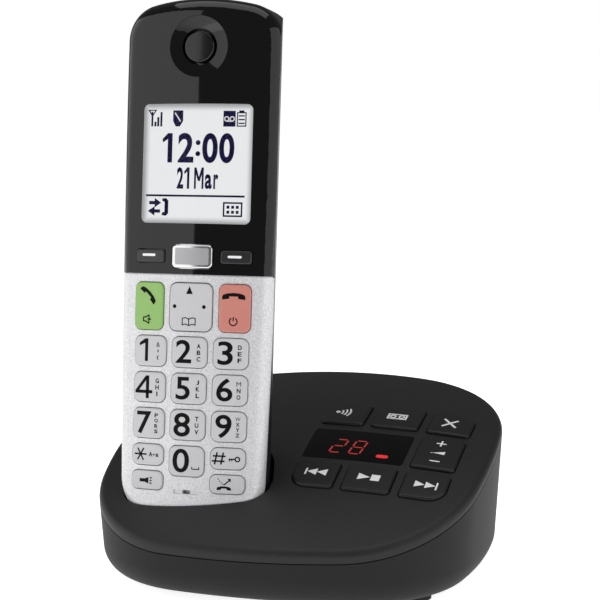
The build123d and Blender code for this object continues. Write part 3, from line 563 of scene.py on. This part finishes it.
# Clear polished acrylic, coated against glare: it shows the display and hardly itself.
lens_clear, lens_tree, lens_shader = blank("acrylic_clear_polished")
lens_shader.inputs["Transmission Weight"].default_value = 1.0
lens_shader.inputs["IOR"].default_value = 1.15
lens_place = node(lens_tree, "ShaderNodeTexCoord").outputs["Object"]
lens_haze = node(lens_tree, "ShaderNodeTexNoise", {"Scale": 1000 / 8.0}, {"Vector": lens_place})
lens_gloss = node(
    lens_tree, "ShaderNodeMapRange", {"To Min": 0.0, "To Max": 0.02}, {"Value": lens_haze.outputs["Fac"]}
)
lens_tree.links.new(lens_gloss.outputs[0], lens_shader.inputs["Roughness"])
finished(["display_lens"], lens_clear)

# ---- Handset: the display and what it shows ----
# A backlit liquid-crystal panel behind the lens: a near-white face with painted shade towards
# its edges for the shadow of the window's rim, with the time, a date and plain symbols in navy.

handset_up = axis_of("handset_lift")
handset_in = axis_of("battery_door_off")
handset_across = Vector((1.0, 0.0, 0.0))
case = ["handset_front_case"]
handset_origin = handset_across * sum(span(case, handset_across)) / 2
handset_origin += handset_up * span(case, handset_up)[0]
handset_origin += handset_in * span(["handset_display_panel"], handset_in)[0]
handset = Face(handset_origin, handset_across, handset_up)

backlight, glow, glow_shader = blank("lcd_backlit_white_painted_edge_shade")
glow_place = node(glow, "ShaderNodeTexCoord").outputs["Object"]
# Painted shade: the face darkens towards the window's border. This stands in for the shadow that the rim
# casts on the panel behind the lens.
painted_shadow_inside, painted_shadow_outside = -0.0022, 0.0004  # where the fall in brightness starts and ends, in metres
reach = []
for direction in (handset_across, handset_up):
    low, high = span(["display_lens"], direction)
    along = node(
        glow, "ShaderNodeVectorMath", {"operation": "DOT_PRODUCT", 1: tuple(direction)}, {0: glow_place}
    )
    centred = node(
        glow, "ShaderNodeMath", {"operation": "SUBTRACT", 1: (low + high) / 2}, {0: along.outputs["Value"]}
    )
    size = node(glow, "ShaderNodeMath", {"operation": "ABSOLUTE"}, {0: centred.outputs[0]})
    inside = node(
        glow, "ShaderNodeMath", {"operation": "SUBTRACT", 1: (high - low) / 2}, {0: size.outputs[0]}
    )
    reach.append(inside.outputs[0])
edge = node(glow, "ShaderNodeMath", {"operation": "MAXIMUM"}, {0: reach[0], 1: reach[1]})
painted_rim_shadow = node(
    glow,
    "ShaderNodeMapRange",
    {"interpolation_type": "SMOOTHSTEP", "From Min": painted_shadow_inside, "From Max": painted_shadow_outside},
    {"Value": edge.outputs[0]},
)
# The darker colour is the painted shadow at the border. The lighter one is the backlit face.
face_with_painted_shadow = node(
    glow,
    "ShaderNodeMix",
    {"data_type": "RGBA", 6: linear("#f4f5f6"), 7: linear("#9c9c9e")},
    {0: painted_rim_shadow.outputs[0]},
)
glow.links.new(face_with_painted_shadow.outputs[2], glow_shader.inputs["Emission Color"])
glow_shader.inputs["Emission Strength"].default_value = 1.08
glow_shader.inputs["Base Color"].default_value = (0.01, 0.01, 0.01, 1)
glow_shader.inputs["Roughness"].default_value = 0.6
finished(["lcd_module"], backlight)


def letters(words, x_from, x_to, y_from, y_to, weight=0.0):
    """A word or figure, as flat triangles that fill a box."""
    curve = bpy.data.curves.new("words", "FONT")
    curve.body = words
    curve.offset = weight
    curve.resolution_u = 5
    holder = bpy.data.objects.new("words", curve)
    bpy.context.scene.collection.objects.link(holder)
    mesh = bpy.data.meshes.new_from_object(holder)
    bpy.data.objects.remove(holder)
    xs = [v.co.x for v in mesh.vertices]
    ys = [v.co.y for v in mesh.vertices]
    wide = (x_to - x_from) / (max(xs) - min(xs))
    tall = (y_to - y_from) / (max(ys) - min(ys))
    left, foot = min(xs), min(ys)
    points = [(x_from + (v.co.x - left) * wide, y_from + (v.co.y - foot) * tall) for v in mesh.vertices]
    return [[points[i] for i in face.vertices] for face in mesh.polygons]


def figure_one(x_from, x_to, y_from, y_to, stroke):
    """A plain figure one: an upright and a short flag."""
    tall = y_to - y_from
    flag = [
        (x_to - stroke, y_to),
        (x_from, y_to - 0.2 * tall),
        (x_from + 0.1 * stroke, y_to - 0.32 * tall),
        (x_to - stroke, y_to - 0.2 * tall),
    ]
    return block(x_to - stroke, x_to, y_from, y_to) + [flag]


# The panel's face lies behind the lens, so what shows there sits a little to the left.
behind = -0.40
bold = 0.03
overshoot = 0.1  # round figures reach a little past straight ones
time_low, time_high = 108.8, 117.6
date_low, date_high, small_high = 101.0, 107.4, 105.4
icons_low = 119.6
time_row = figure_one(-11.0, -7.8, time_low, time_high, 1.5)
time_row += letters("2", -6.0, -1.0, time_low, time_high + overshoot, bold)
time_row += disc(0.35, 114.8, 0.75) + disc(0.35, 111.5, 0.75)
for left, right_edge in ((1.7, 6.6), (7.0, 11.8)):
    time_row += letters("0", left, right_edge, time_low - overshoot, time_high + overshoot, bold)
date_row = letters("2", -6.1, -4.0, date_low, date_high, bold)
date_row += figure_one(-3.8, -2.1, date_low, date_high, 0.75)
date_row += block(-0.6, 0.0, date_low, date_high) + block(1.8, 2.4, date_low, date_high)
date_row += strip(-0.2, 107.2, 0.9, 103.4, 0.65) + strip(2.0, 107.2, 0.9, 103.4, 0.65)
date_row += letters("a", 2.8, 5.0, date_low, small_high, bold)
date_row += letters("r", 5.5, 7.0, date_low, small_high, bold)
rule = block(-15.9, 15.4, 98.6, 99.2)
aerial = [[(-15.8, 124.5), (-14.5, 122.3), (-13.1, 124.5), (-13.5, 124.5), (-14.5, 122.9), (-15.3, 124.5)]]
aerial += block(-15.8, -13.1, 124.3, 124.6) + block(-14.8, -14.2, icons_low, 124.0)
for left, top in ((-13.8, 121.0), (-12.9, 122.4), (-11.9, 123.9)):
    aerial += block(left, left + 0.65, icons_low, top)
shield = [[(-7.8, 124.4), (-7.8, 121.2), (-6.9, icons_low), (-5.6, icons_low), (-4.6, 121.2)]]
shield[0] += [(-4.6, 124.4)]
recorder = block(8.1, 11.9, icons_low, 124.3)
battery = outline(12.3, 15.3, icons_low, 123.9, 0.35) + block(13.0, 14.6, 123.9, 124.4)
for height in (120.6, 121.7, 122.8):
    battery += block(12.85, 14.75, height - 0.2, height + 0.2)
arrows = block(-14.8, -12.9, 96.2, 97.2) + [[(-13.0, 95.3), (-10.9, 96.7), (-13.0, 98.1)]]
arrows += block(-13.1, -11.2, 93.7, 94.7) + [[(-13.0, 92.8), (-13.0, 95.6), (-15.2, 94.2)]]
grip = [[(-10.6, 98.0), (-10.5, 97.2), (-9.8, 97.0), (-9.8, 94.0), (-10.5, 93.8), (-10.7, 93.0)]]
grip[0] += [(-9.4, 92.8), (-8.6, 93.5), (-8.6, 97.4), (-9.3, 98.1)]
pad = outline(8.7, 14.8, 92.8, 97.2, 0.5)
dot_half = 0.45
for x in (10.3, 11.75, 13.2):
    for y in (94.2, 95.7):
        pad += block(x - dot_half, x + dot_half, y - dot_half, y + dot_half)
shown = time_row + date_row + rule + aerial + shield + recorder + battery + arrows + grip + pad
shown = [[(point[0] + behind, point[1]) for point in shape] for shape in shown]
# Liquid crystal that blocks the light: flat dark blue with no shine of its own.
navy = moulded(
    "lcd_segments_navy", "#1c1b4c", roughness=0.5, grain=0.6, depth=0.0, tone=0.05, Specular_IOR_Level=0.0
)
handset.lay("display_figures", shown, "lcd_module", navy, lift=0.02)
pale_marks = strip(-7.2 + behind, 123.7, -5.4 + behind, 121.1, 0.4)
pale_marks += band(9.15 + behind, 121.9, 0.65, 0.35) + band(10.85 + behind, 121.9, 0.65, 0.35)
pale_marks += block(9.1 + behind, 10.9 + behind, 121.05, 121.4)
# Crystal left clear inside a dark sign, so the panel's light shows through.
clear_cell = glowing("lcd_clear_cell", "#f1f1f4", 1.0)
handset.lay("display_clear_marks", pale_marks, "lcd_module", clear_cell, lift=0.04)

# ---- Handset: number keys ----
# Satin ABS caps in light grey with black figures, letters and symbols printed on them. The
# middle key of the pad has a small raised dot for the finger to find.

# Satin ABS, coloured through: pale, even and softly lit, with a low-gloss ink on it.
grey_abs = moulded("light_grey_abs_satin", "#bdbdbf", roughness=0.36, grain=0.5, depth=0.002, tone=0.03)
grey_keys = ["key_%d" % n for n in range(10)] + ["key_star", "key_hash", "key_loud", "key_redial", "key_nav"]
finished(grey_keys, grey_abs)
black_ink = moulded(
    "black_ink_pad_printed", "#040405", roughness=0.50, grain=0.3, depth=0.0, Specular_IOR_Level=0.12
)

figures = {
    "key_2": ("2", -4.2, 0.8, 49.0, 55.9),
    "key_3": ("3", 8.9, 13.5, 48.9, 55.9),
    "key_5": ("5", -3.9, 0.6, 38.1, 44.9),
    "key_6": ("6", 8.8, 13.7, 38.1, 45.0),
    "key_7": ("7", -16.6, -11.7, 27.3, 34.1),
    "key_8": ("8", -4.3, 1.0, 27.1, 34.2),
    "key_9": ("9", 8.8, 13.7, 27.2, 34.2),
    "key_0": ("0", -4.3, 1.0, 16.4, 23.5),
}
figure_weight = 0.015
prints = {name: letters(*box, figure_weight) for name, box in figures.items()}
prints["key_1"] = figure_one(-16.4, -13.4, 49.1, 55.9, 1.05)
prints["key_4"] = block(-13.8, -12.75, 38.0, 44.8) + block(-17.4, -11.6, 39.5, 40.45)
prints["key_4"] += strip(-16.95, 40.1, -13.5, 44.5, 0.95)
# Beside each figure stand small signs, one above another.
beside = ["&'(", "ABC", "DEF", "GHI", "JKL", "MNO", "PQRS", "TUV", "WXYZ"]
columns = (-10.05, 3.05, 15.5)
half_widths = {"I": 0.2, "'": 0.2, "(": 0.35, "J": 0.4, "W": 0.8, "M": 0.7}
usual_half, apostrophe_half = 0.58, 0.35
foot = handset_origin.dot(handset_up)
for number, marks in enumerate(beside, start=1):
    name = "key_%d" % number
    x = columns[(number - 1) % 3]
    middle = (sum(span([name], handset_up)) / 2 - foot) * 1000
    pitch, tall = (1.95, 1.35) if len(marks) == 3 else (1.6, 1.15)
    for order, mark in enumerate(marks):
        half = half_widths.get(mark, usual_half)
        short = apostrophe_half if mark == "'" else tall / 2
        centre = middle + ((len(marks) - 1) / 2 - order) * pitch
        weight = 0.0 if mark in "MW&" else bold
        prints[name] += letters(mark, x - half, x + half, centre - short, centre + short, weight)
prints["key_0"] += strip(1.9, 18.3, 1.9, 17.6, 0.3) + strip(1.8, 17.6, 4.2, 17.6, 0.3)
prints["key_0"] += strip(4.1, 17.6, 4.1, 18.3, 0.3)
sign_line, star_arm = 0.48, 2.05
star = []
for turn in (0, 60, 120):
    dx, dy = star_arm * math.cos(math.radians(turn)), star_arm * math.sin(math.radians(turn))
    star += strip(-15.0 - dx, 21.2 - dy, -15.0 + dx, 21.2 + dy, sign_line)
star += letters("A", -12.2, -11.0, 20.6, 22.0, bold) + letters("a", -9.9, -9.0, 20.6, 21.6, bold)
star += strip(-10.9, 21.2, -10.4, 21.2, 0.3) + [[(-10.5, 20.9), (-10.1, 21.2), (-10.5, 21.5)]]
prints["key_star"] = star
pound = strip(8.9, 19.4, 9.6, 23.0, sign_line) + strip(10.8, 19.4, 11.5, 23.0, sign_line)
pound += strip(8.0, 20.4, 11.9, 20.4, sign_line) + strip(8.3, 21.9, 12.2, 21.9, sign_line)
pound += band(15.7, 21.1, 0.65, 0.4) + strip(13.1, 21.1, 15.1, 21.1, 0.4)
pound += block(13.2, 13.5, 20.4, 21.0) + block(13.9, 14.2, 20.5, 21.0)
prints["key_hash"] = pound
horn = block(-15.1, -13.3, 12.9, 13.9) + [[(-13.3, 12.9), (-12.1, 12.4), (-12.1, 14.4), (-13.3, 13.9)]]
for rise in (-0.7, 0.0, 0.7):
    horn += strip(-11.7, 13.4 + rise, -11.0, 13.4 + 1.3 * rise, 0.4)
prints["key_loud"] = horn


def receiver(x, y, width, turn=0.0):
    """A telephone receiver seen from the side, drawn lying down and then turned."""
    top = [(-3.45, -1.0), (-3.45, -0.1), (-3.1, 0.45), (-1.8, 0.85), (0.0, 1.0)]
    top += [(-a, b) for a, b in reversed(top[:-1])]
    under = [(1.4, -0.75), (1.25, -0.05), (-1.25, -0.05), (-1.4, -0.75)]
    drawn_width = 2 * 3.45
    scale, t = width / drawn_width, math.radians(turn)
    return [
        [
            (
                x + scale * (a * math.cos(t) - b * math.sin(t)),
                y + scale * (a * math.sin(t) + b * math.cos(t)),
            )
            for a, b in top + under
        ]
    ]


again = receiver(11.9, 12.4, 4.3) + strip(11.9, 13.4, 13.5, 14.8, 0.36)
again += [[(12.9, 15.3), (13.9, 14.2), (13.9, 15.3)]]
for x, y in ((10.1, 15.1), (10.6, 14.5), (11.1, 14.0), (11.6, 13.6)):
    again += disc(x, y, 0.2, 8)
prints["key_redial"] = again
nav = [[(-1.4, 69.6), (0.7, 69.6), (-0.35, 71.9)]] + disc(-5.0, 65.85, 0.58) + disc(4.3, 65.85, 0.58)
for rise in (0.0, 1.9):
    pages = [(-2.5, 60.4), (-1.4, 60.65), (-0.35, 60.2), (0.7, 60.65), (1.8, 60.4)]
    for start, end in zip(pages, pages[1:]):
        nav += strip(start[0], start[1] + rise, end[0], end[1] + rise, 0.3)
for x in (-2.4, -0.35, 1.7):
    nav += strip(x, 60.2, x, 62.4, 0.3)
prints["key_nav"] = nav

# ---- Handset: talk and off keys ----
# Tinted ABS caps, grass green and salmon, with the receiver lifted on one and laid down on the
# other. A small loudspeaker and a power mark stand below.

# The same satin ABS as the grey keys, tinted: flat colour with a soft highlight at the bevels.
green_abs = moulded("green_abs_satin", "#86b05f", roughness=0.34, grain=0.5, depth=0.002, tone=0.04)
salmon_abs = moulded("salmon_abs_satin", "#c17b70", roughness=0.34, grain=0.5, depth=0.002, tone=0.04)
finished(["key_talk"], green_abs)
finished(["key_off"], salmon_abs)
talk = receiver(-13.7, 69.1, 6.6, -45.0)
speaker_line = 0.38
speaker = [(-15.3, 62.3), (-14.5, 62.3), (-13.4, 63.0), (-13.4, 60.4), (-14.5, 61.1), (-15.3, 61.1)]
for start, end in zip(speaker, speaker[1:] + speaker[:1]):
    talk += strip(*start, *end, speaker_line)
talk += strip(-13.9, 61.7, -12.7, 61.7, speaker_line)
prints["key_talk"] = talk
off = receiver(13.25, 69.3, 6.9) + band(13.3, 61.8, 1.15, 0.36, 120, 420, 20)
off += strip(13.3, 62.0, 13.3, 63.2, 0.36)
prints["key_off"] = off
for name, shapes in prints.items():
    handset.lay("print_" + name, shapes, name, black_ink, lift=0.025)
pip = disc(-1.6, 40.1, 0.4) + disc(-1.6, 40.1, 0.2)
handset.lay("finger_dot", pip, "key_5", grey_abs, lift=0.25)

# ---- Handset: soft keys ----
# Two small black keys with a white dash each, and between them a chromed key whose middle is a
# brushed plate set in its bright bevel.

handset.lay("dash_left", pill(-16.2, -11.8, 81.0, 0.75), "key_soft_left", white_ink)
handset.lay("dash_right", pill(11.1, 15.3, 80.9, 0.72), "key_soft_right", white_ink)
# Chromium over polished ABS: a bright mirror bevel.
chrome = moulded(
    "chrome_plate_on_abs", "#d8d8da", roughness=0.12, grain=3.0, depth=0.0,
    tone=0.03, spread=0.03, Metallic=1.0
)
finished(["key_soft_center"], chrome)
# Aluminium brushed along its length: fine lines about 0.1 mm apart, drawn at 0.25 mm.
brushed = moulded(
    "aluminium_brushed_plate", "#a9a9ab", roughness=0.36, grain=0.25, depth=0.002, tone=0.05, Metallic=0.7
)
plate_half, plate_low, plate_high, plate_round = 5.3, 78.3, 83.3, 0.5
corner_turns = range(0, 91, 30)
plate = []
for x, y, start in (
    (plate_half, plate_high, 0),
    (-plate_half, plate_high, 90),
    (-plate_half, plate_low, 180),
    (plate_half, plate_low, 270),
):
    inwards = Vector((-1 if x > 0 else 1, -1 if y == plate_high else 1)) * plate_round
    for turn in corner_turns:
        a = math.radians(start + turn)
        plate.append((x + inwards.x + plate_round * math.cos(a), y + inwards.y + plate_round * math.sin(a)))
plate_piece = handset.lay("soft_center_plate", [plate], "key_soft_center", brushed, lift=0.12)

# ---- Handset: rear case, battery door and cells ----
# A textured ABS shell with loudspeaker slots, and a door with finger ridges over two small
# cells in printed sleeves.

# A fine textured mould on the back, a little glossier than the base's cover from handling.
rear_abs = moulded("black_abs_textured_rear", "#151416", roughness=0.42, grain=0.5, depth=0.008, IOR=1.40)
finished(["handset_rear_case"], rear_abs)
finished(["battery_cover"], rear_abs)
# Thin heat-shrunk film: smooth, with a clear highlight along each cell.
sleeve = moulded("green_shrink_sleeve", "#2f6d52", roughness=0.28, grain=2.0, depth=0.003)
finished(["battery_cells"], sleeve)
